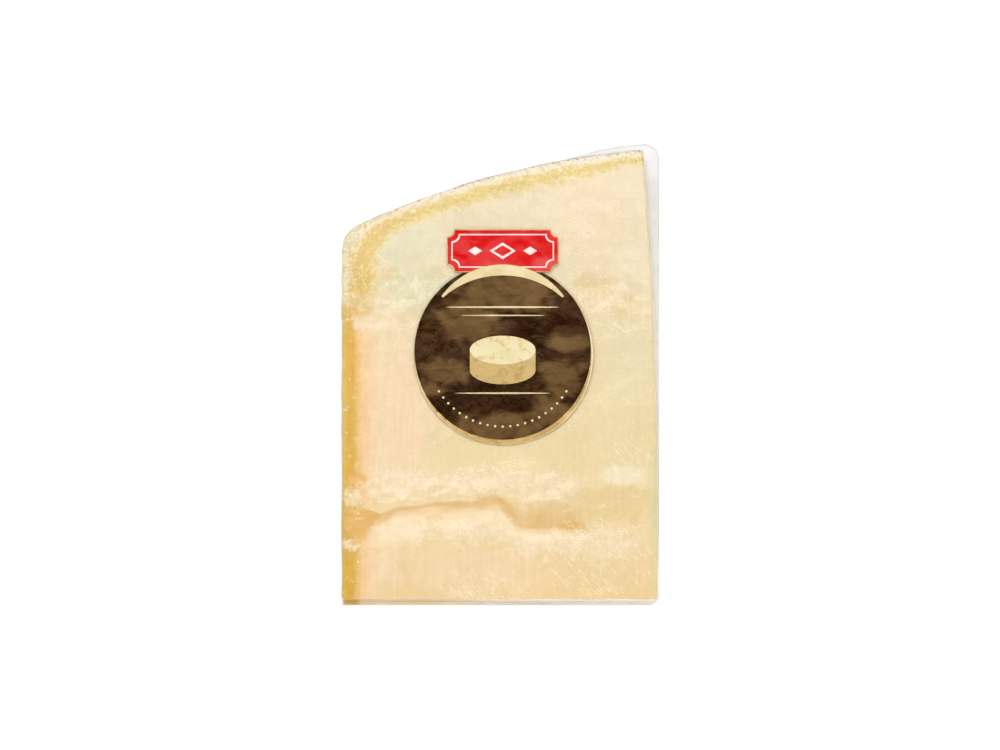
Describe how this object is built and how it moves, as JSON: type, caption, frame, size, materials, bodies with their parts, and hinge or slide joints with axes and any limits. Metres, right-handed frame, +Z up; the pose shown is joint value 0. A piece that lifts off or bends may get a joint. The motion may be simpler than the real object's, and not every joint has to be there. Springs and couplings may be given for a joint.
{
  "type": "vacuum-packed wedge of hard cheese",
  "caption": "Wedge of hard cheese cut from a tall wheel, with rind on two sides, sealed in a clear vacuum pack with a flange all round and a round label on its upper cut face.",
  "frame": {"origin": "under the middle of the pack, on the surface that it lies on", "axes": "+Z up from the radial cut face that the pack lies on, +Y from the trimmed tip towards the barrel rind, +X along the wheel's axis from the flat rind side to the cut across the wheel's middle"},
  "size_m": [0.1138, 0.1637, 0.067],
  "materials": {
    "cheese_in_film": "pale cream-yellow hard cheese under clear clinging vacuum film, glossy in creases, amber towards the rind",
    "clear_film": "clear, glossy, finely creased plastic film",
    "label_print": "glossy printed label: dark brown round field, gold rim and band, red plaque, no lettering"
  },
  "bodies": {
    "root": {"sealed_pack": "cheese_in_film", "label": "label_print"}
  },
  "joints": []
}
